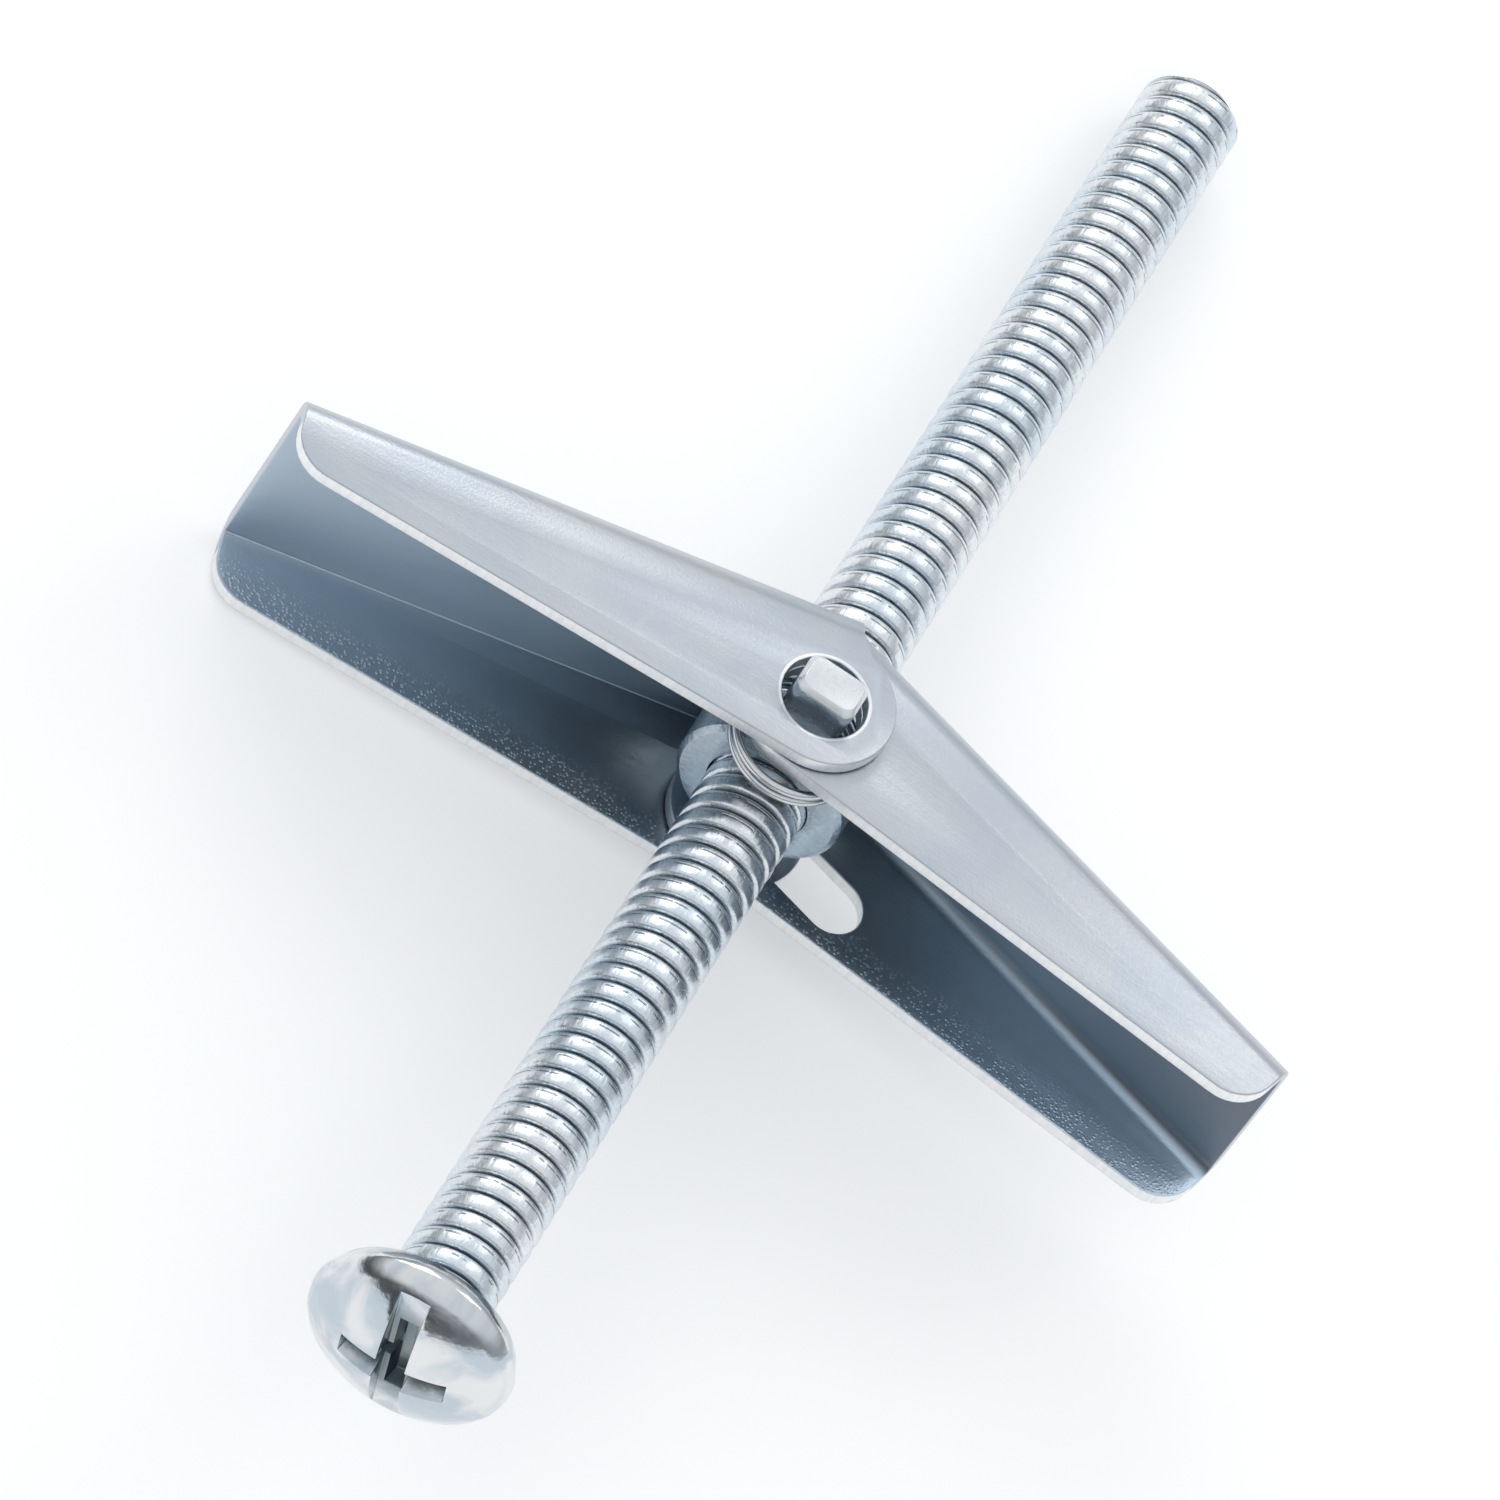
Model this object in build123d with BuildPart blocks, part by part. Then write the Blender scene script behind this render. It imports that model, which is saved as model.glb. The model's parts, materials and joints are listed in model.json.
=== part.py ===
"""Spring toggle bolt, 3/16 in thread by 3 in long, open as its spring holds it.

The origin is the centre of the screw head's bearing face. The screw runs
along +Y from its head to its tip, and the two wings turn about the nut's
lugs, on an axis parallel to Z. All sizes are in millimetres.
"""

import os
from math import acos, asin, atan2, cos, degrees, hypot, pi, radians, sin, tan

from build123d import *

# Screw
thread_radius = 2.35
screw_length = 76.2
tip_chamfer = 0.6
head_radius = 4.75
head_height = 3.2
shoulder_radius = 1.2
bearing_radius = 4.4
rim_height = 0.75

# Combination drive, a slot across a cross recess
slot_width = 1.35
slot_depth = 1.35
cross_span = 5.1
cross_width = 1.3
cross_depth = 2.2
cross_taper = 10
drive_angle = 12

# Place and spread of the wings
hinge_y = 34.0
wing_droop = 14.8

# Wings, pressed from sheet. A wing is measured from the hinge axis: along its
# web toward the tip, and outward to the outer face of the web.
sheet = 0.75
bend_radius = 1.5
outer_wing_width = 11.8
nesting_gap = 0.1
wing_length = 24.8
web_offset = 5.0
web_start = -1.0
tip_height = 3.6
tip_corner_radius = 2.0
ear_radius = 3.25
neck_angle = 120
neck_offset = 3.9
pivot_hole_radius = 1.95
notch_width = 5.7
notch_end = 2.8
keyhole_end = 7.0
keyhole_width = 2.7

# Nut, a round threaded plate with two flat lugs
thread_clearance = 0.05
nut_radius = 3.9
nut_head_side = 2.0
nut_tip_side = 1.15
nut_top_wall = 0.35
nut_edge_chamfer = 0.25
lug_width = 2.9
lug_thickness = 2.1
lug_proud = 1.15
lug_chamfer = 0.2

# Torsion spring round the upper lug. Its coil fills the room that the nut and
# the inner wing leave it, so the wire's thickness follows from that room.
coil_radius = 2.6
coil_shift = 0.8
coil_clearance = 0.03
whole_turns = 2
turn_spacing = 1.34
leg_angle = 2
leg_gap = 0.12
leg_ease = 0.3

inner_wing_width = outer_wing_width - 2 * (sheet + nesting_gap)
lug_tip = outer_wing_width / 2 + lug_proud
nut_bore_radius = thread_radius + thread_clearance
nut_top = nut_bore_radius + nut_top_wall
coil_turns = whole_turns - 2 * leg_angle / 360
coil_room = inner_wing_width / 2 - sheet - nut_top - 2 * coil_clearance
wire_radius = coil_room / (1 + turn_spacing * coil_turns) / 2
coil_pitch = 2 * wire_radius * turn_spacing

os.makedirs("parts", exist_ok=True)


def build_wing(side, width, has_keyhole):
    """One wing, a tapered channel. side is -1 for the wing toward -X, 1 for +X."""
    droop = radians(wing_droop)
    hinge = Vector(0, hinge_y, 0)
    along = Vector(side * cos(droop), -sin(droop), 0)
    outward = Vector(side * sin(droop), cos(droop), 0)
    flange_plane = Plane(origin=hinge, x_dir=along, z_dir=(0, 0, side))
    section_plane = Plane(origin=hinge + along * wing_length, x_dir=outward, z_dir=-along)
    web_plane = Plane(origin=hinge + outward * web_offset, x_dir=along, z_dir=outward)

    # The free edge runs from the wing's tip to a tangent on the round ear
    tip_edge = web_offset - tip_height
    tip_distance = hypot(wing_length, tip_edge)
    ear_bottom_angle = degrees(atan2(tip_edge, wing_length) - acos(ear_radius / tip_distance))
    ear_middle_angle = (neck_angle + ear_bottom_angle + 360) / 2

    def ear_point(angle):
        return Vector(ear_radius * cos(radians(angle)), ear_radius * sin(radians(angle)))

    with BuildPart() as wing:
        # The flanges' outline, across the full width
        with BuildSketch(flange_plane):
            with BuildLine():
                Polyline(
                    ear_point(ear_bottom_angle),
                    (wing_length, tip_edge),
                    (wing_length, web_offset),
                    (web_start, web_offset),
                    (web_start, neck_offset),
                    ear_point(neck_angle),
                )
                ThreePointArc(
                    ear_point(neck_angle),
                    ear_point(ear_middle_angle),
                    ear_point(ear_bottom_angle),
                )
            make_face()
        extrude(amount=width / 2, both=True)

        # Rounded free corners at the tip, and the two long folds
        corners = wing.edges().filter_by(Axis.Z)
        corners = corners.filter_by(lambda edge: on_line(edge, hinge, along, outward, wing_length, tip_edge))
        fillet(corners, tip_corner_radius)
        folds = wing.edges().filter_by(Axis(hinge, along))
        folds = folds.filter_by(lambda edge: abs((edge @ 0.5 - hinge).dot(outward) - web_offset) < 0.01)
        fillet(folds, bend_radius)

        # The channel between the flanges
        with BuildSketch(section_plane):
            with Locations((web_offset - sheet, 0)):
                channel = Rectangle(
                    web_offset + 2 * ear_radius,
                    width - 2 * sheet,
                    align=(Align.MAX, Align.CENTER),
                )
            fillet(channel.vertices().sort_by(Axis(hinge, outward))[-2:], bend_radius - sheet)
        extrude(amount=wing_length + 2 * ear_radius, mode=Mode.SUBTRACT)

        # The notch in the web that the screw passes through
        with BuildSketch(web_plane):
            with Locations((notch_end - notch_width / 2, 0)):
                Circle(notch_width / 2)
                Rectangle(notch_width, notch_width, align=(Align.MAX, Align.CENTER))
        extrude(amount=-sheet - bend_radius, mode=Mode.SUBTRACT)

        # Pivot holes, and the slot that lets a lug into the lower flange
        with BuildSketch(flange_plane):
            Circle(pivot_hole_radius)
        extrude(amount=width, both=True, mode=Mode.SUBTRACT)
        if has_keyhole:
            slot_centre = keyhole_end - keyhole_width / 2
            with BuildSketch(flange_plane):
                with Locations((slot_centre, 0)):
                    Circle(keyhole_width / 2)
                    Rectangle(slot_centre, keyhole_width, align=(Align.MAX, Align.CENTER))
            extrude(amount=-width, mode=Mode.SUBTRACT)
    return wing.part


def on_line(edge, hinge, along, outward, distance, height):
    """Whether an upright edge stands at this distance along and out from the hinge."""
    offset = edge @ 0.5 - hinge
    return abs(offset.dot(along) - distance) < 0.01 and abs(offset.dot(outward) - height) < 0.01


# Machine screw: a domed head on a straight shank, with a chamfered tip. The
# dome's shoulder is upright where it meets the rim, and its crown runs into it.
dome_height = head_height - rim_height
shoulder_centre = head_radius - shoulder_radius
crown_radius = (shoulder_centre**2 + dome_height**2 - shoulder_radius**2) / (2 * (dome_height - shoulder_radius))
crown_angle = degrees(asin(shoulder_centre / (crown_radius - shoulder_radius)))
with BuildPart() as machine_screw:
    with BuildSketch(Plane.XY):
        with BuildLine():
            CenterArc((0, crown_radius - head_height), crown_radius, -90, crown_angle)
            CenterArc((shoulder_centre, -rim_height), shoulder_radius, crown_angle - 90, 90 - crown_angle)
            Polyline(
                (head_radius, -rim_height),
                (bearing_radius, 0),
                (thread_radius, 0),
                (thread_radius, screw_length - tip_chamfer),
                (thread_radius - tip_chamfer, screw_length),
                (0, screw_length),
                (0, -head_height),
            )
        make_face()
    revolve(axis=Axis.Y)

    drive_plane = Plane(
        origin=(0, -head_height, 0),
        x_dir=(cos(radians(drive_angle)), 0, sin(radians(drive_angle))),
        z_dir=(0, -1, 0),
    )
    with BuildSketch(drive_plane):
        Rectangle(slot_width, 2 * head_radius)
    extrude(amount=-slot_depth, mode=Mode.SUBTRACT)
    with BuildSketch(drive_plane):
        Rectangle(cross_span, cross_width)
        Rectangle(cross_width, cross_span)
    extrude(amount=-cross_depth, taper=cross_taper, mode=Mode.SUBTRACT)

# Toggle nut: the plate, cut flat above for the spring, and its two lugs
nut_face = Plane(origin=(0, hinge_y - nut_head_side, 0), x_dir=(0, 0, 1), z_dir=(0, 1, 0))
lug_plane = Plane(origin=(0, hinge_y - lug_thickness / 2, 0), x_dir=(0, 0, 1), z_dir=(0, 1, 0))
with BuildPart() as toggle_nut:
    with BuildSketch(nut_face):
        Circle(nut_radius)
        with Locations((nut_top, 0)):
            Rectangle(nut_radius, 2 * nut_radius, align=(Align.MIN, Align.CENTER), mode=Mode.SUBTRACT)
    extrude(amount=nut_head_side + nut_tip_side)
    chamfer(toggle_nut.faces().sort_by(Axis.Y)[0].edges(), nut_edge_chamfer)
    with BuildSketch(lug_plane):
        Rectangle(2 * lug_tip, lug_width)
    extrude(amount=lug_thickness)
    lug_ends = toggle_nut.faces().sort_by(Axis.Z)[0].edges() + toggle_nut.faces().sort_by(Axis.Z)[-1].edges()
    chamfer(lug_ends, lug_chamfer)
    with BuildSketch(nut_face):
        Circle(nut_bore_radius)
    extrude(amount=nut_head_side + nut_tip_side, mode=Mode.SUBTRACT)

# Torsion spring: turns round the upper lug, and on their far side from the
# screw's head a straight leg to each wing
coil_start_angle = radians(90 - leg_angle)
coil_plane = Plane(
    origin=(0, hinge_y - coil_shift, nut_top + coil_clearance + wire_radius),
    x_dir=(cos(coil_start_angle), sin(coil_start_angle), 0),
    z_dir=(0, 0, 1),
)
coil = coil_plane * Helix(
    pitch=coil_pitch,
    height=coil_pitch * coil_turns,
    radius=coil_radius,
    lefthand=True,
)
coil_slope = atan2(coil_pitch, 2 * pi * coil_radius)
fold_inside = bend_radius - sheet

with BuildPart() as torsion_spring:
    with BuildLine() as spring_path:
        add(coil)
        # Each leg leaves the coil, levels out and stops just short of its wing's web
        for side, start, tangent, stand_off in (
            (-1, coil @ 0, -(coil % 0), wire_radius + leg_gap),
            (1, coil @ 1, coil % 1, max(wire_radius + leg_gap, fold_inside)),
        ):
            run = Vector(side * cos(radians(leg_angle)), sin(radians(leg_angle)), 0)
            rise = Vector(0, 0, side * leg_ease * tan(coil_slope / 2))
            ease = TangentArc(start, start + run * leg_ease + rise, tangent=tangent)
            outward = Vector(side * sin(radians(wing_droop)), cos(radians(wing_droop)), 0)
            height = (ease @ 1 - Vector(0, hinge_y, 0)).dot(outward)
            leg_length = (web_offset - sheet - stand_off - height) / run.dot(outward)
            Line(ease @ 1, ease @ 1 + run * leg_length)
    wire_path = spring_path.wires()[0]
    with BuildSketch(Plane(origin=wire_path @ 0, z_dir=wire_path % 0)):
        Circle(wire_radius)
    sweep(path=wire_path)

pieces = {
    "machine_screw": machine_screw.part,
    "toggle_nut": toggle_nut.part,
    "torsion_spring": torsion_spring.part,
    "outer_wing": build_wing(-1, outer_wing_width, has_keyhole=False),
    "inner_wing": build_wing(1, inner_wing_width, has_keyhole=True),
}
for name, piece in pieces.items():
    piece.label = name
    export_step(piece, f"parts/{name}.step")
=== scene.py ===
"""Looks for the spring toggle bolt: its rolled thread, wound spring and eased sheet edges, in bright zinc.

The sizes written here are in millimetres, as in the part's source, and MM turns them into metres.
"""

import json
import math

import bmesh
import bpy
from mathutils import Matrix, Vector


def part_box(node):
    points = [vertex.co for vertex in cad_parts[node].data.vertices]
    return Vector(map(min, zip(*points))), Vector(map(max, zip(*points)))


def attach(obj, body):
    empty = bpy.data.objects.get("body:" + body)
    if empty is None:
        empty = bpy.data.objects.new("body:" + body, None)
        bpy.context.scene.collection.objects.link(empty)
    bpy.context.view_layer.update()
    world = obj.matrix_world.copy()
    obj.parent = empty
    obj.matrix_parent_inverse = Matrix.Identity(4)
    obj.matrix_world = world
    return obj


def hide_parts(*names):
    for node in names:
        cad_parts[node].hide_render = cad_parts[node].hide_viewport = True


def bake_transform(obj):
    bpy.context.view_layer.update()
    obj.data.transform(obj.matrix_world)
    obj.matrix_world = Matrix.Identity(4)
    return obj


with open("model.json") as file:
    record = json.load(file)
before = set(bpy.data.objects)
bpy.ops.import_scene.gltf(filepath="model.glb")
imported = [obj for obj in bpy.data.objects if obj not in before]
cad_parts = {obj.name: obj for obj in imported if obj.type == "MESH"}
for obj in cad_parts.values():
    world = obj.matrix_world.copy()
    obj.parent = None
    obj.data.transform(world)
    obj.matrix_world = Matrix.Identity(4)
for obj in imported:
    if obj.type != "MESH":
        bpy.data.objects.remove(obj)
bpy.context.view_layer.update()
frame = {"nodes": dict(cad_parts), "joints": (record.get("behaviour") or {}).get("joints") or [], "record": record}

MM = 0.001

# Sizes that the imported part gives
mounts = {mount["name"]: mount for mount in frame["record"]["mounts"]}
joints = {joint["name"]: joint for joint in frame["joints"]}
thread_radius = mounts["threaded_end"]["dims"]["r_mm"]
screw_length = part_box("machine_screw")[1].y / MM
hinge_y = joints["outer_wing_fold"]["pos_m"][1] / MM
lug_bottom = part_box("toggle_nut")[0].z / MM
lug_half_width = 1.45

# Rolled thread, 24 turns to the inch
thread_pitch = 25.4 / 24
thread_depth = 0.42
root_end = 0.05
crest_start = 0.31
crest_crown = 0.04
root_crowding = 0.55
neck_radius = 2.05
neck_end = 1.6
tip_radius = 1.72
steps_round = 56
points_per_pitch = 18

# Torsion spring
wire_radius = 0.205
coil_radius = 2.8
coil_shift = 1.0
coil_bottom = 2.985
coil_pitch = 0.545
coil_turns = 1.989
leg_angle = 2
leg_ends = {"outer_wing": 3.92, "inner_wing": 3.50}
wing_droop = 14.8

# Eased edges of the solids
sheet_edge = 0.13
nut_edge = 0.12
lug_corner = 0.42
head_edge = 0.14

# Wings: their sheet, where it is folded, and the outer faces of their webs and flanges
sheet = 0.75
web_offset = 5.0
fold_start = 3.4
half_widths = {"outer_wing": 5.9, "inner_wing": 5.05}
pivot_hole_radius = 1.95
wing_length = 24.8
tip_edge = 1.4
free_edge_slope = 0.19

# Head: its dome, and how deep below it the drive's walls lie in shade
head_height = 3.2
crown_radius = 6.87


class Value:
    """An output of a node, for expressions such as 1 - mask * 0.5."""

    def __init__(self, tree, socket):
        self.tree = tree
        self.socket = socket

    def maths(self, operation, *operands):
        return self.tree.node("ShaderNodeMath", {"operation": operation}, dict(enumerate(operands)))

    def also(self, output):
        """Another output of the same node."""
        return Value(self.tree, self.socket.node.outputs[output])

    def __add__(self, other):
        return self.maths("ADD", self, other)

    def __radd__(self, other):
        return self.maths("ADD", other, self)

    def __sub__(self, other):
        return self.maths("SUBTRACT", self, other)

    def __rsub__(self, other):
        return self.maths("SUBTRACT", other, self)

    def __mul__(self, other):
        return self.maths("MULTIPLY", self, other)

    def __rmul__(self, other):
        return self.maths("MULTIPLY", other, self)

    def __truediv__(self, other):
        return self.maths("DIVIDE", self, other)

    def __rtruediv__(self, other):
        return self.maths("DIVIDE", other, self)


class Tree:
    """A node tree that is written as Python expressions."""

    def __init__(self, tree):
        self.nodes = tree.nodes
        self.links = tree.links

    def node(self, kind, settings=None, inputs=None, output=0):
        """Adds a node of any kind. Its settings come first, then the values or links of its sockets."""
        node = self.nodes.new(kind)
        for name, setting in (settings or {}).items():
            if name == "stops":
                self.set_stops(node.color_ramp, setting)
            else:
                setattr(node, name, setting)
        for name, value in (inputs or {}).items():
            if isinstance(value, Value):
                self.links.new(value.socket, node.inputs[name])
            else:
                node.inputs[name].default_value = value
        return Value(self, node.outputs[output]) if len(node.outputs) else None

    def set_stops(self, ramp, stops):
        while len(ramp.elements) < len(stops):
            ramp.elements.new(1.0)
        for element, (place, colour) in zip(ramp.elements, stops):
            element.position = place
            element.color = colour


def ease(tree, value, start, end):
    """0 below start, 1 above end, and a smooth rise between."""
    return tree.node(
        "ShaderNodeMapRange",
        {"interpolation_type": "SMOOTHSTEP"},
        {"Value": value, "From Min": start, "From Max": end},
    )


def band(tree, value, low, high, soft):
    """1 between low and high, with soft ends outside them."""
    return ease(tree, value, low - soft, low) * (1 - ease(tree, value, high, high + soft))


def mix(tree, factor, first, second):
    """Colours from first to second as the factor goes from 0 to 1."""
    return tree.node("ShaderNodeMix", {"data_type": "RGBA"}, {0: factor, 6: first, 7: second}, 2)


def colour(red, green, blue):
    return (red, green, blue, 1)


def new_geometry_tree(name, sockets):
    """A Geometry Nodes tree with these inputs, and its inputs by name."""
    tree = bpy.data.node_groups.new(name, "GeometryNodeTree")
    tree.interface.new_socket("Geometry", in_out="INPUT", socket_type="NodeSocketGeometry")
    tree.interface.new_socket("Geometry", in_out="OUTPUT", socket_type="NodeSocketGeometry")
    for label, kind in sockets:
        tree.interface.new_socket(label, in_out="INPUT", socket_type=kind)
    nodes = Tree(tree)
    start = tree.nodes.new("NodeGroupInput")
    inputs = {socket.name: Value(nodes, socket) for socket in start.outputs if socket.name}
    return tree, nodes, inputs


def grow(name, data, tree, values):
    """Runs a Geometry Nodes tree on new object data, and keeps the result as a plain mesh."""
    carrier = bpy.data.objects.new(name + " carrier", data)
    bpy.context.scene.collection.objects.link(carrier)
    modifier = carrier.modifiers.new(name, "NODES")
    modifier.node_group = tree
    for item in tree.interface.items_tree:
        if item.item_type == "SOCKET" and item.in_out == "INPUT" and item.name in values:
            modifier[item.identifier] = values[item.name]
    graph = bpy.context.evaluated_depsgraph_get()
    mesh = bpy.data.meshes.new_from_object(carrier.evaluated_get(graph), depsgraph=graph)
    mesh.name = name
    bpy.data.objects.remove(carrier)
    return place_mesh(name, mesh)


def place_mesh(name, mesh):
    obj = bpy.data.objects.new(name, mesh)
    bpy.context.scene.collection.objects.link(obj)
    return obj


def finish_mesh(mesh, sharp_degrees):
    """Closes small seams, turns the faces outward and smooths all but the sharp edges."""
    shape = bmesh.new()
    shape.from_mesh(mesh)
    bmesh.ops.remove_doubles(shape, verts=shape.verts, dist=0.0005 * MM)
    bmesh.ops.dissolve_degenerate(shape, edges=shape.edges, dist=0.0001 * MM)
    bmesh.ops.recalc_face_normals(shape, faces=shape.faces)
    for face in shape.faces:
        face.smooth = True
    shape.to_mesh(mesh)
    shape.free()
    mesh.set_sharp_from_angle(angle=math.radians(sharp_degrees))


# Rolled thread

def rolled_thread_tree():
    """A grid wrapped into a screw. Each row keeps one place on the thread's profile and climbs a pitch a turn."""
    tree, nodes, given = new_geometry_tree(
        "rolled thread",
        [
            ("Length", "NodeSocketFloat"),
            ("Outer radius", "NodeSocketFloat"),
            ("Depth", "NodeSocketFloat"),
            ("Crown", "NodeSocketFloat"),
            ("Pitch", "NodeSocketFloat"),
            ("Neck radius", "NodeSocketFloat"),
            ("Neck end", "NodeSocketFloat"),
            ("Tip radius", "NodeSocketFloat"),
            ("Steps round", "NodeSocketInt"),
            ("Points per pitch", "NodeSocketInt"),
            ("Material", "NodeSocketMaterial"),
        ],
    )
    length, pitch = given["Length"], given["Pitch"]
    steps, points = given["Steps round"], given["Points per pitch"]
    turns = length / pitch
    rows = (points * (turns + 1)).maths("CEIL", points * (turns + 1)) + 4
    grid = nodes.node(
        "GeometryNodeMeshGrid",
        {},
        {"Size X": rows - 1, "Size Y": steps, "Vertices X": rows, "Vertices Y": steps + 1},
    )
    position = nodes.node("GeometryNodeInputPosition")
    split = nodes.node("ShaderNodeSeparateXYZ", {}, {0: position})
    grid_y = split.also("Y")
    row = split.maths("ROUND", split + (rows - 1) / 2)
    step = grid_y.maths("ROUND", grid_y + steps / 2)

    # Height along the screw, held between the head and the tip. Rows crowd together at the roots.
    climb = (row - 1) / points
    wave = climb.maths("SINE", climb * math.tau)
    climb = climb + wave * (root_crowding / math.tau)
    height = (climb + step / steps - 1) * pitch
    height = height.maths("MAXIMUM", height, 0.0)
    height = height.maths("MINIMUM", height, length)

    # The thread's profile, a wide crowned crest and a narrow root once in each pitch
    across = climb.maths("FRACT", climb) * 2 - 1
    across = across.maths("ABSOLUTE", across)
    ridge = ease(nodes, across, root_end, crest_start)
    fall = 1 - across
    crest = given["Outer radius"] - fall * fall * given["Crown"] / (1 - crest_start) / (1 - crest_start)
    thread = crest - (1 - ridge) * given["Depth"]

    # Plain neck under the head, with a small fillet, and a chamfer at the tip
    grown = ease(nodes, height, given["Neck end"] * 0.35, given["Neck end"])
    radius = given["Neck radius"] + (thread - given["Neck radius"]) * grown
    radius = radius.maths("MAXIMUM", radius, given["Outer radius"] - height)
    radius = radius.maths("MINIMUM", radius, given["Tip radius"] + (length - height))

    # The first and last rows meet on the axis and close the ends
    first = row.maths("GREATER_THAN", row, 0.5)
    last = row.maths("LESS_THAN", row, rows - 1.5)
    radius = radius * first * last
    angle = step / steps * math.tau
    place = nodes.node(
        "ShaderNodeCombineXYZ",
        {},
        {"X": radius * angle.maths("SINE", angle), "Y": height, "Z": radius * angle.maths("COSINE", angle)},
    )
    wrapped = nodes.node("GeometryNodeSetPosition", {}, {"Geometry": grid, "Position": place})
    real = nodes.node("GeometryNodeRealizeInstances", {}, {"Geometry": wrapped})
    coated = nodes.node("GeometryNodeSetMaterial", {}, {"Geometry": real, "Material": given["Material"]})
    nodes.node("NodeGroupOutput", {}, {"Geometry": coated})
    return tree


def make_thread(material):
    thread = grow(
        "rolled_thread",
        bpy.data.meshes.new("thread start"),
        rolled_thread_tree(),
        {
            "Length": screw_length * MM,
            "Outer radius": thread_radius * MM,
            "Depth": thread_depth * MM,
            "Crown": crest_crown * MM,
            "Pitch": thread_pitch * MM,
            "Neck radius": neck_radius * MM,
            "Neck end": neck_end * MM,
            "Tip radius": tip_radius * MM,
            "Steps round": steps_round,
            "Points per pitch": points_per_pitch,
            "Material": material,
        },
    )
    finish_mesh(thread.data, 50)
    return thread


# Wire of the spring

def round_wire_tree():
    """Sweeps a round section along the curve it is given."""
    tree, nodes, given = new_geometry_tree(
        "round wire",
        [
            ("Wire radius", "NodeSocketFloat"),
            ("Sides", "NodeSocketInt"),
            ("Material", "NodeSocketMaterial"),
        ],
    )
    section = nodes.node(
        "GeometryNodeCurvePrimitiveCircle", {}, {"Resolution": given["Sides"], "Radius": given["Wire radius"]}
    )
    swept = nodes.node(
        "GeometryNodeCurveToMesh",
        {},
        {"Curve": given["Geometry"], "Profile Curve": section, "Fill Caps": True},
    )
    real = nodes.node("GeometryNodeRealizeInstances", {}, {"Geometry": swept})
    coated = nodes.node("GeometryNodeSetMaterial", {}, {"Geometry": real, "Material": given["Material"]})
    nodes.node("NodeGroupOutput", {}, {"Geometry": coated})
    return tree


def coil_point(turned):
    """A point on the coil, so many degrees on from its start on the screw's far side. It climbs clockwise."""
    angle = math.radians(90 - leg_angle - turned)
    return Vector(
        (
            coil_radius * math.cos(angle),
            hinge_y - coil_shift + coil_radius * math.sin(angle),
            coil_bottom + coil_pitch * turned / 360,
        )
    )


def leg_path(side, start, stand_off):
    """Points of a straight leg that stops short of its wing's web."""
    slope = math.radians(leg_angle)
    run = Vector((side * math.cos(slope), math.sin(slope), 0))
    droop = math.radians(wing_droop)
    outward = Vector((side * math.sin(droop), math.cos(droop), 0))
    height = (start - Vector((0, hinge_y, 0))).dot(outward)
    length = (stand_off - height) / run.dot(outward)
    return [start + run * length * i / 40 for i in range(41)]


def make_wire(name, points, tree, material):
    curve = bpy.data.curves.new(name + " path", "CURVE")
    curve.dimensions = "3D"
    spline = curve.splines.new("POLY")
    spline.points.add(len(points) - 1)
    for point, place in zip(spline.points, points):
        point.co = (*(place * MM), 1)
    wire = grow(name, curve, tree, {"Wire radius": wire_radius * MM, "Sides": 24, "Material": material})
    finish_mesh(wire.data, 50)
    return wire


def make_spring(material):
    """The coil, which stays with the nut, and a leg for each wing."""
    tree = round_wire_tree()
    whole = 360 * coil_turns
    coil = make_wire("spring_coil", [coil_point(whole * i / 150) for i in range(151)], tree, material)
    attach(coil, "nut")
    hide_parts("torsion_spring")

    for wing, side, start in (("outer_wing", -1, coil_point(0)), ("inner_wing", 1, coil_point(whole))):
        leg = make_wire(f"spring_leg_to_{wing}", leg_path(side, start, leg_ends[wing]), tree, material)
        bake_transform(leg)


# Solids with eased edges

def eased_copy(node, name, width, keep=None, corners=None):
    """A copy of a CAD node with its facets joined, its chosen corners rounded and its edges eased."""
    mesh = frame["nodes"][node].data.copy()
    mesh.name = name
    mesh.materials.clear()
    shape = bmesh.new()
    shape.from_mesh(mesh)
    bmesh.ops.remove_doubles(shape, verts=shape.verts, dist=0.001 * MM)
    if keep:
        gone = [vertex for vertex in shape.verts if not keep(vertex.co / MM)]
        bmesh.ops.delete(shape, geom=gone, context="VERTS")
        bmesh.ops.holes_fill(shape, edges=shape.edges)
    bmesh.ops.dissolve_limit(shape, angle_limit=math.radians(0.5), verts=shape.verts, edges=shape.edges)
    if corners:
        bmesh.ops.bevel(
            shape,
            geom=[edge for edge in shape.edges if corners(edge)],
            offset=lug_corner * MM,
            offset_type="OFFSET",
            segments=5,
            profile=0.5,
            affect="EDGES",
        )
    bmesh.ops.recalc_face_normals(shape, faces=shape.faces)
    for face in shape.faces:
        face.smooth = True
    shape.to_mesh(mesh)
    shape.free()
    mesh.update()
    rough = place_mesh(name + " rough", mesh)
    bevel = rough.modifiers.new("edges", "BEVEL")
    bevel.width = width * MM
    bevel.segments = 3
    bevel.limit_method = "ANGLE"
    bevel.angle_limit = math.radians(28)
    bevel.harden_normals = True
    graph = bpy.context.evaluated_depsgraph_get()
    eased = bpy.data.meshes.new_from_object(rough.evaluated_get(graph), depsgraph=graph)
    eased.name = name
    bpy.data.objects.remove(rough)
    return place_mesh(name, eased)


def coat(obj, material):
    obj.data.materials.clear()
    obj.data.materials.append(material)


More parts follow.
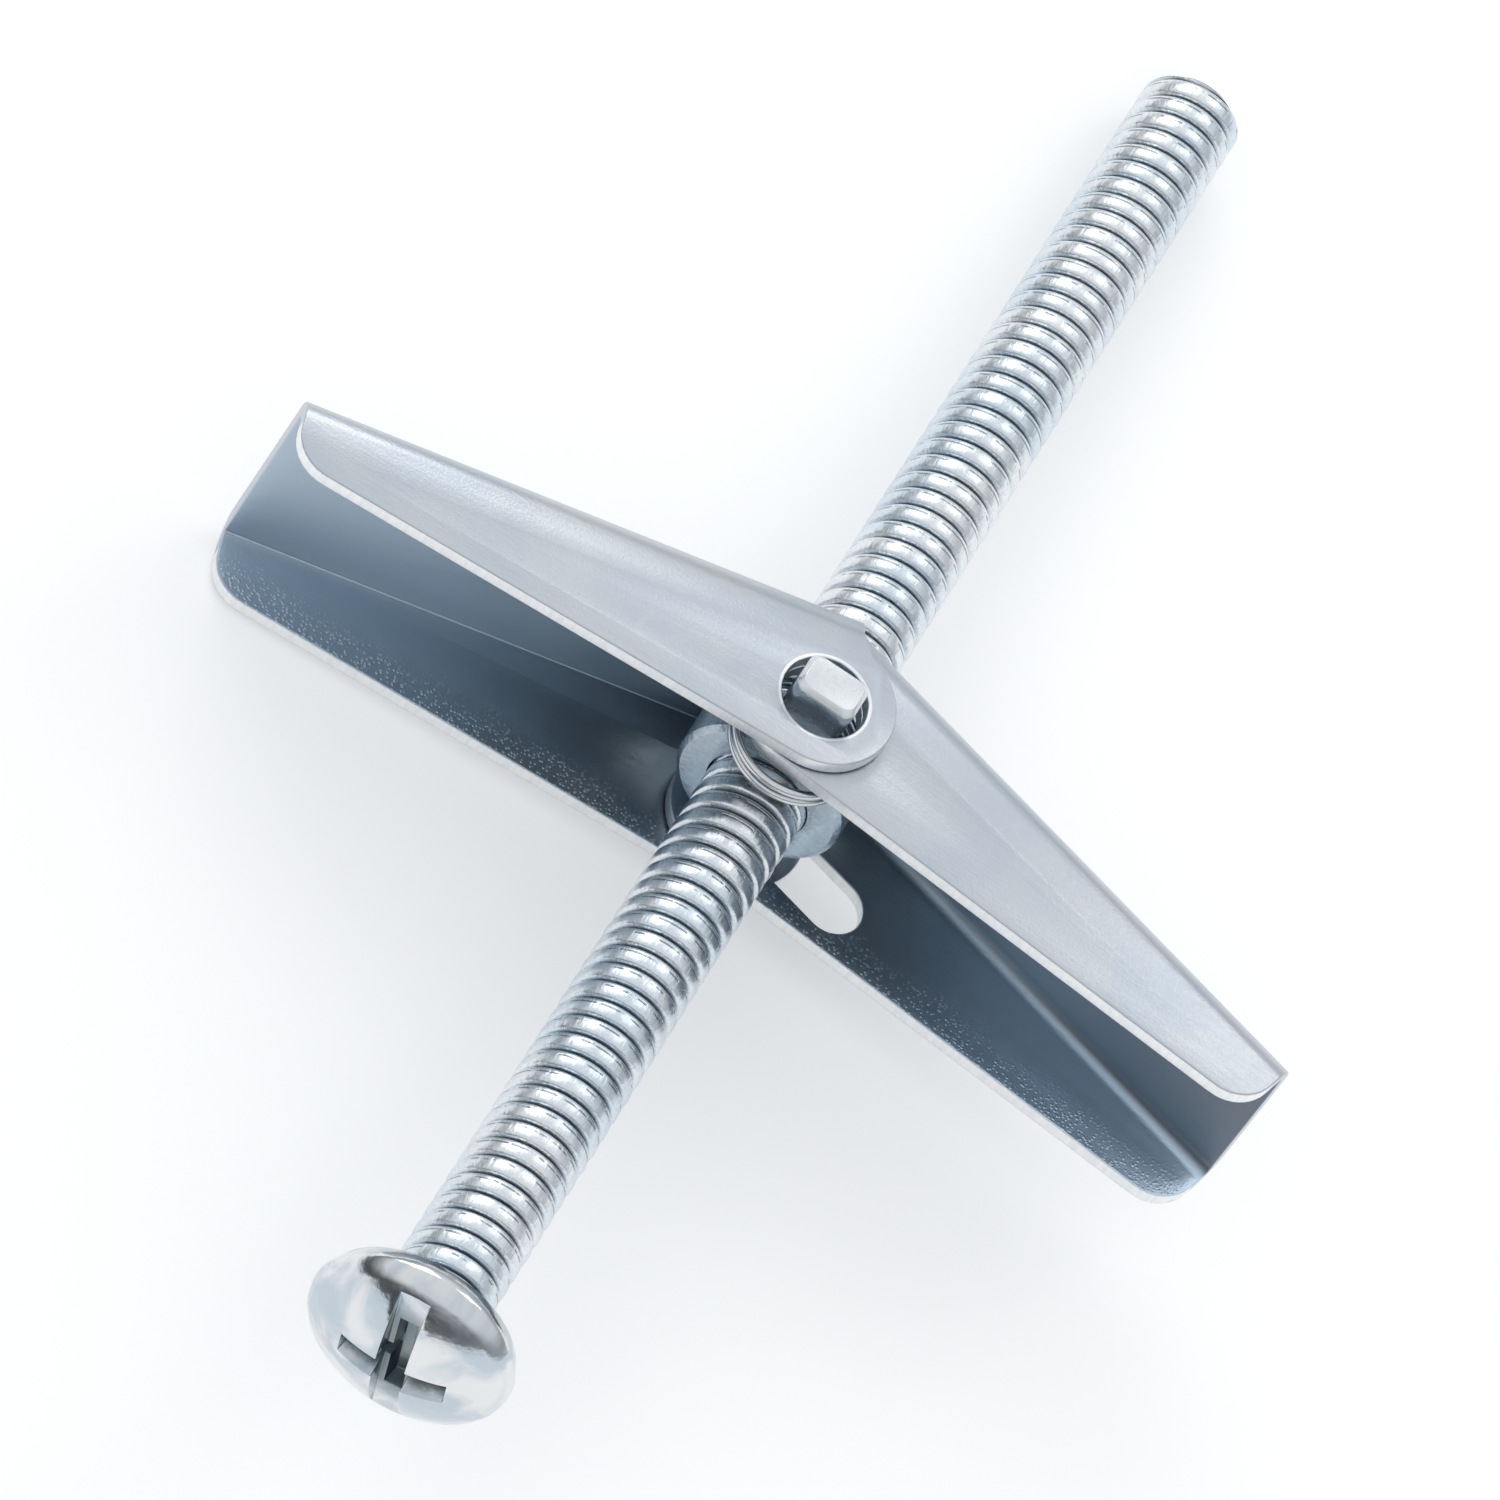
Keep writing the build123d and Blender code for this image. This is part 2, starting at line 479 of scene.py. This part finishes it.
def is_lug_corner(edge):
    """Whether an edge runs up one corner of a lug, or across the chamfer at its end."""
    first, second = (vertex.co / MM for vertex in edge.verts)
    middle = (first + second) / 2
    climbs = abs(first.z - second.z) > 0.1
    return climbs and abs(middle.z) > 2.6 and lug_half_width - 0.15 < abs(middle.x) < lug_half_width + 0.01


# Zinc finishes

class Zinc:
    """A bright zinc finish. Its places are in millimetres on the bolt."""

    def __init__(self, name):
        self.material = bpy.data.materials.new(name)
        self.material.use_nodes = True
        self.tree = Tree(self.material.node_tree)
        self.shader = self.material.node_tree.nodes["Principled BSDF"]
        self.shader.inputs["Metallic"].default_value = 1.0
        metres = self.tree.node("ShaderNodeTexCoord", {}, {}, "Object")
        self.place = self.tree.node("ShaderNodeVectorMath", {"operation": "SCALE"}, {0: metres, "Scale": 1 / MM})
        self.x = self.tree.node("ShaderNodeSeparateXYZ", {}, {0: self.place})
        self.y = self.x.also("Y")
        self.z = self.x.also("Z")

    def stretched(self, x, y, z):
        """The place, drawn out so that a pattern on it runs along one way."""
        return self.tree.node("ShaderNodeVectorMath", {"operation": "MULTIPLY"}, {0: self.place, 1: (x, y, z)})

    def noise(self, scale, detail=2.0, place=None, distortion=0.0):
        """Clouds of this many to a millimetre, from about 0.3 to 0.7."""
        return self.tree.node(
            "ShaderNodeTexNoise",
            {},
            {"Vector": place or self.place, "Scale": scale, "Detail": detail, "Distortion": distortion},
        )

    def specks(self, scale, size):
        """Fine round specks, 1 at their middles."""
        cells = self.tree.node("ShaderNodeTexVoronoi", {}, {"Vector": self.place, "Scale": scale})
        return 1 - ease(self.tree, cells, size * 0.4, size)

    def tints(self, cool, warm):
        """The plate's own tint, cool with faint warm clouds."""
        clouds = ease(self.tree, self.noise(0.16, 3.0, distortion=0.6), 0.36, 0.66)
        return mix(self.tree, clouds, cool, warm)

    def finish(self, base, roughness, relief, depth):
        """Joins the shader to its colour, roughness and fine relief, whose depth is in millimetres."""
        links = self.tree.links
        bump = self.tree.node("ShaderNodeBump", {}, {"Strength": 1.0, "Distance": depth * MM, "Height": relief})
        links.new(base.socket, self.shader.inputs["Base Color"])
        links.new(roughness.socket, self.shader.inputs["Roughness"])
        links.new(bump.socket, self.shader.inputs["Normal"])
        return self.material


def make_screw_zinc():
    """Rolled thread and dome: bright crests, with painted shade in the roots, along the rolling seam and in the drive.
    """
    zinc = Zinc("screw zinc")
    tree = zinc.tree
    radius = tree.node("ShaderNodeVectorMath", {"operation": "LENGTH"}, {0: zinc.stretched(1, 0, 1)}, "Value")
    threaded = ease(tree, zinc.y, neck_end * 0.5, neck_end)
    # Painted shade down in the thread's roots
    root = (1 - ease(tree, radius, thread_radius - thread_depth + 0.02, thread_radius - 0.16)) * threaded
    headed = 1 - ease(tree, zinc.y, -0.1, 0.1)

    # How deep a place lies below the dome's round, which only the drive's walls do
    dome_centre = (0, crown_radius - head_height, 0)
    from_centre = tree.node(
        "ShaderNodeVectorMath", {"operation": "DISTANCE"}, {0: zinc.place, 1: dome_centre}, "Value"
    # How deep a place lies below the dome's round, which only the drive's walls do; painted shade darkens them
    )
    shaded_recess = ease(tree, crown_radius - from_centre, 0.15, 1.1) * (1 - ease(tree, radius, 3.2, 3.9)) * headed

    # The fine broken seam that rolling leaves along the crest, a groove in the relief that is darkened with painted
    # shade
    turned = zinc.x.maths("ARCTAN2", zinc.x, zinc.z) / math.tau
    climb = zinc.y / thread_pitch - turned
    across = climb.maths("FRACT", climb)
    broken = ease(tree, zinc.noise(1.6, 2.0), 0.42, 0.56)
    shaded_seam = band(tree, across, 0.12, 0.16, 0.04) * threaded * broken

    grain = zinc.noise(7.0, 3.0)
    rolled = zinc.tints(colour(0.71, 0.78, 0.84), colour(0.85, 0.875, 0.89))
    rolled = mix(tree, ease(tree, grain, 0.35, 0.75) * 0.3, rolled, colour(0.46, 0.54, 0.60))
    rolled = mix(tree, shaded_seam * 0.8, rolled, colour(0.22, 0.27, 0.32))
    rolled = mix(tree, root * 0.85, rolled, colour(0.13, 0.17, 0.21))

    # The dome is smoother, with blue and pale clouds
    clouds = ease(tree, zinc.noise(0.42, 3.0, distortion=0.8), 0.38, 0.62)
    dome = mix(tree, clouds, colour(0.54, 0.605, 0.66), colour(0.79, 0.795, 0.80))
    # Painted shade on the drive's walls
    dome = mix(tree, shaded_recess * 0.8, dome, colour(0.15, 0.20, 0.21))

    base = mix(tree, headed, rolled, dome)
    marks = zinc.noise(5.0, 4.0, zinc.stretched(1, 0.25, 1))
    roughness = 0.12 + (0.04 + marks * 0.2) * (1 - headed) + root * 0.1 + shaded_recess * 0.15 + grain * 0.06
    relief = (marks * 1.3 - shaded_seam) * (1 - headed) + grain * 0.15 + zinc.noise(1.1, 2.0) * headed
    return zinc.finish(base, roughness, relief, 0.02)


def make_nut_zinc():
    zinc = Zinc("nut zinc")
    tree = zinc.tree
    base = zinc.tints(colour(0.34, 0.44, 0.53), colour(0.50, 0.57, 0.63))
    grain = zinc.noise(5.0, 4.0)
    base = mix(tree, ease(tree, grain, 0.4, 0.8) * 0.4, base, colour(0.28, 0.36, 0.43))

    # The lugs' ends carry a painted highlight, near white
    height = zinc.z.maths("ABSOLUTE", zinc.z)
    lug_end_highlight = ease(tree, height, half_widths["outer_wing"] + 0.75, half_widths["outer_wing"] + 1.0)
    base = mix(tree, lug_end_highlight * 0.85, base, colour(0.84, 0.85, 0.85))
    roughness = 0.18 + grain * 0.25
    relief = (grain + zinc.noise(1.2, 2.0) * 2) * (1 - lug_end_highlight * 0.8)
    return zinc.finish(base, roughness, relief, 0.025)


def make_spring_zinc():
    zinc = Zinc("spring zinc")
    tree = zinc.tree
    base = zinc.tints(colour(0.58, 0.63, 0.67), colour(0.72, 0.73, 0.74))
    drawn = zinc.noise(6.0, 3.0, zinc.stretched(0.4, 0.4, 3.0))
    base = mix(tree, ease(tree, drawn, 0.4, 0.75) * 0.2, base, colour(0.30, 0.35, 0.40))
    return zinc.finish(base, 0.16 + drawn * 0.1, drawn, 0.002)


def make_wing_zinc(wing, side, web_light_and_shade, flange_light_and_shade):
    """Pressed sheet: satin outside, a painted highlight on the sheared edges, and dark painted shade inside the
    channel.

    Toward the tip, the tone given for the web paints reflected light and shade on the inside of the web, and the tone
    given for the flange on that of the lower flange.
    """
    zinc = Zinc(wing.replace("_", " ") + " zinc")
    tree = zinc.tree
    half_width = half_widths[wing]
    droop = math.radians(wing_droop)
    along = zinc.x * (side * math.cos(droop)) - (zinc.y - hinge_y) * math.sin(droop)
    outward = zinc.x * (side * math.sin(droop)) + (zinc.y - hinge_y) * math.cos(droop)
    height = zinc.z.maths("ABSOLUTE", zinc.z)
    wall = half_width - sheet
    inside = (1 - ease(tree, height, wall + 0.01, wall + 0.09)) * (
        1 - ease(tree, outward, web_offset - sheet + 0.01, web_offset - sheet + 0.09)
    )
    sheared = band(tree, height, wall + 0.09, half_width - 0.1, 0.08)
    sheared = sheared * (1 - ease(tree, outward, fold_start - 0.2, fold_start))

    # Satin outer faces, with faint lines along the sheet and soft clouds
    base = zinc.tints(colour(0.535, 0.58, 0.635), colour(0.585, 0.61, 0.64))
    lines = zinc.noise(4.0, 3.0, zinc.stretched(0.2, 1.6, 1.6))
    base = mix(tree, ease(tree, lines, 0.42, 0.72) * 0.12, base, colour(0.47, 0.53, 0.59))
    grain = zinc.noise(8.0, 4.0)
    blots = ease(tree, zinc.noise(0.55, 4.0, distortion=1.2), 0.6, 0.72)
    base = mix(tree, blots * 0.12, base, colour(0.72, 0.69, 0.70))

    # A painted highlight round the rims of the pivot holes
    hinge = (0, hinge_y, 0)
    flat_place = zinc.stretched(1, 1, 0)
    from_hinge = tree.node("ShaderNodeVectorMath", {"operation": "DISTANCE"}, {0: flat_place, 1: hinge}, "Value")
    hole_rim_highlight = band(tree, from_hinge, pivot_hole_radius, pivot_hole_radius + 0.14, 0.05)
    base = mix(tree, hole_rim_highlight * 0.9, base, colour(0.96, 0.96, 0.96))

    # Painted shade inside the channel, a little lighter toward the tip, with fine bright specks
    channel_shade = mix(tree, ease(tree, along, 3.0, 21.0), colour(0.29, 0.355, 0.415), colour(0.43, 0.53, 0.62))
    patchy = ease(tree, zinc.noise(0.3, 3.0), 0.35, 0.65)
    channel_shade = mix(tree, patchy * 0.4, channel_shade, colour(0.43, 0.50, 0.56))
    on_web = ease(tree, outward, web_offset - sheet - 0.6, web_offset - sheet - 0.1)
    near_tip = ease(tree, along, 6.0, 20.0)
    on_flange = (1 - on_web) * ease(tree, 0 - zinc.z, 2.0, 4.0)
    # Painted reflected light and shade toward the tip, on the web and on the lower flange
    channel_shade = mix(tree, near_tip * on_web * 0.85, channel_shade, web_light_and_shade)
    channel_shade = mix(tree, near_tip * on_flange * 0.9, channel_shade, flange_light_and_shade)
    from_edge = outward - tip_edge + (wing_length - along) * free_edge_slope
    frosted = 1 - ease(tree, from_edge + zinc.noise(0.5, 2.0) * 2, 1.4, 3.4)
    specks = zinc.specks(5.5, 0.45) * frosted
    channel_shade = mix(tree, specks * 0.45, channel_shade, colour(0.80, 0.84, 0.88))

    # A painted highlight on the sheared edges, streaked across the sheet
    streaks = zinc.noise(5.0, 3.0, zinc.stretched(1, 1, 0.15))
    edge = mix(tree, ease(tree, streaks, 0.3, 0.7), colour(0.85, 0.875, 0.89), colour(0.95, 0.95, 0.95))

    base = mix(tree, sheared, mix(tree, inside, base, channel_shade), edge)
    roughness = 0.26 + grain * 0.14 + lines * 0.06 + sheared * 0.08 + inside * 0.05
    relief = grain * 0.5 + lines * 0.4 + specks * inside + streaks * sheared * 0.4
    return zinc.finish(base, roughness, relief, 0.018)


screw_zinc = make_screw_zinc()
thread = make_thread(screw_zinc)
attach(thread, "screw")
head = eased_copy("machine_screw", "screw_head", head_edge, keep=lambda place: place.y < 0.001)
coat(head, screw_zinc)
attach(head, "screw")
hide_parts("machine_screw")

for node, body, width, corners, slot, material in (
    ("toggle_nut", "nut", nut_edge, is_lug_corner, "nut_zinc", make_nut_zinc()),
    # The wings' last two colours paint reflected light and shade inside the channel toward the tip
    ("outer_wing", "outer_wing", sheet_edge, None, "wing_zinc", make_wing_zinc("outer_wing", -1, colour(0.55, 0.63, 0.71), colour(0.44, 0.54, 0.63))),
    ("inner_wing", "inner_wing", sheet_edge, None, "wing_zinc", make_wing_zinc("inner_wing", 1, colour(0.13, 0.15, 0.18), colour(0.70, 0.86, 1.0))),
):
    piece = eased_copy(node, node + "_eased", width, corners=corners)
    coat(piece, material)
    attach(piece, body)
    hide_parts(node)

make_spring(make_spring_zinc())


# Stage: the floor that the bolt rests on, its light and the camera

def rest_plane():
    """The plane through the three places that touch the floor: the screw's tip, the lower lug and the outer wing."""
    tip = Vector((0, screw_length - 0.6, -thread_radius))
    lug = Vector((-1.25, hinge_y + 0.85, lug_bottom))
    droop = math.radians(wing_droop)
    along = Vector((-math.cos(droop), -math.sin(droop), 0))
    outward = Vector((-math.sin(droop), math.cos(droop), 0))
    wing_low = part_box("outer_wing")[0].z / MM
    wing = Vector((0, hinge_y, wing_low)) + along * wing_length + outward * 3.5
    up = (tip - lug).cross(wing - lug).normalized()
    return lug, up if up.z > 0 else -up


def make_floor():
    """A wide pale sheet. Part of its white is its own, so that the bolt's shadow stays light."""
    place, up = rest_plane()
    turn = up.to_track_quat("Z", "Y")
    mesh = bpy.data.meshes.new("floor")
    corners = [Vector((x, y, 0)) * floor_reach for x, y in ((-1, -1), (1, -1), (1, 1), (-1, 1))]
    mesh.from_pydata([turn @ corner + place * MM for corner in corners], [], [(0, 1, 2, 3)])
    floor = place_mesh("floor", mesh)

    material = bpy.data.materials.new("pale floor")
    material.use_nodes = True
    material.node_tree.nodes.clear()
    nodes = Tree(material.node_tree)
    ray = nodes.node("ShaderNodeLightPath")
    seen = ray.also("Is Camera Ray") + ray.also("Is Glossy Ray") + ray.also("Is Transmission Ray")
    own_white = nodes.node("ShaderNodeEmission", {}, {"Color": (1, 1, 1, 1), "Strength": seen * floor_own_white})
    lit = nodes.node("ShaderNodeBsdfDiffuse", {}, {"Color": (floor_tone, floor_tone, floor_tone, 1)})
    both = nodes.node("ShaderNodeAddShader", {}, {0: own_white, 1: lit})
    nodes.node("ShaderNodeOutputMaterial", {}, {"Surface": both})
    mesh.materials.append(material)


def make_light(name, place, target, width, height, power):
    lamp = bpy.data.lights.new(name, "AREA")
    lamp.shape = "RECTANGLE"
    lamp.size = width
    lamp.size_y = height
    lamp.energy = power
    obj = bpy.data.objects.new(name, lamp)
    bpy.context.scene.collection.objects.link(obj)
    obj.location = place
    obj.rotation_mode = "QUATERNION"
    obj.rotation_quaternion = (Vector(target) - Vector(place)).to_track_quat("-Z", "Y")
    return obj


def make_world():
    """A pale ceiling over darker walls, darkest behind the camera and at its left, and white below the floor's rim."""
    world = bpy.data.worlds.new("studio")
    bpy.context.scene.world = world
    world.use_nodes = True
    tree = Tree(world.node_tree)
    world.node_tree.nodes.clear()
    way = tree.node("ShaderNodeTexCoord", {}, {}, "Generated")
    x = tree.node("ShaderNodeSeparateXYZ", {}, {0: way})
    y, z = x.also("Y"), x.also("Z")
    ceiling = ease(tree, z, wall_top[0], wall_top[1])
    side = ease(tree, x * 0.8 + y * 0.6, -0.8, 0.9)
    wall = dark_wall + side * (light_wall - dark_wall)
    level = wall + ceiling * (ceiling_level - wall)
    below = 1 - ease(tree, z, -0.03, -0.01)
    level = level + below * (1 - level)
    grey = tree.node("ShaderNodeCombineColor", {}, {"Red": level * 0.97, "Green": level, "Blue": level * 1.03})
    background = tree.node("ShaderNodeBackground", {}, {"Color": grey})
    tree.node("ShaderNodeOutputWorld", {}, {"Surface": background})


# Stage
floor_reach = 2.0
floor_tone = 0.8
floor_own_white = 0.36
wall_top = (0.12, 0.60)
dark_wall = 0.08
light_wall = 0.45
ceiling_level = 0.82

# The photograph's viewing angle, from the camera to the wings' pivot
view_azimuth = math.radians(-3.0)
view_elevation = math.radians(53.7)
view_roll = math.radians(36.2)
view_distance = 815
frame_share = 0.9


def make_camera():
    """A camera where the photograph's stood, turned to the bolt and with a lens that fills the frame with it."""
    forward = Vector(
        (
            -math.sin(view_azimuth) * math.cos(view_elevation),
            math.cos(view_azimuth) * math.cos(view_elevation),
            -math.sin(view_elevation),
        )
    )
    level = forward.cross(Vector((0, 0, 1))).normalized()
    upright = level.cross(forward)
    right = level * math.cos(view_roll) + upright * math.sin(view_roll)
    up = upright * math.cos(view_roll) - level * math.sin(view_roll)

    pivot = Vector((0, hinge_y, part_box("outer_wing")[1].z / MM))
    place = (pivot - forward * view_distance) * MM

    # Two turns bring the middle of what shows to the middle of the frame
    points = [vertex.co - place for node in frame["nodes"].values() for vertex in node.data.vertices]
    for _ in range(2):
        rightward = [point.dot(right) / point.dot(forward) for point in points]
        upward = [point.dot(up) / point.dot(forward) for point in points]
        middle = right * (min(rightward) + max(rightward)) / 2 + up * (min(upward) + max(upward)) / 2
        turn = forward.rotation_difference(forward + middle)
        forward, right, up = turn @ forward, turn @ right, turn @ up
    widest = max(max(rightward) - min(rightward), max(upward) - min(upward))

    camera = bpy.data.cameras.new("camera")
    camera.lens = camera.sensor_width / widest * frame_share
    camera.clip_start = 0.01
    camera.clip_end = 20
    obj = bpy.data.objects.new("camera", camera)
    obj.matrix_world = Matrix.Translation(place) @ Matrix((right, up, -forward)).transposed().to_4x4()
    bpy.context.scene.collection.objects.link(obj)
    bpy.context.scene.camera = obj


make_floor()
make_world()
make_light("left softbox", (-0.38, 0.60, 0.56), (0, 0.035, 0), 0.5, 0.42, 1.2)
make_light("right softbox", (0.32, 0.57, 0.61), (0, 0.035, 0), 0.25, 0.4, 0.38)
make_camera()

bpy.context.scene.view_settings.view_transform = "Standard"
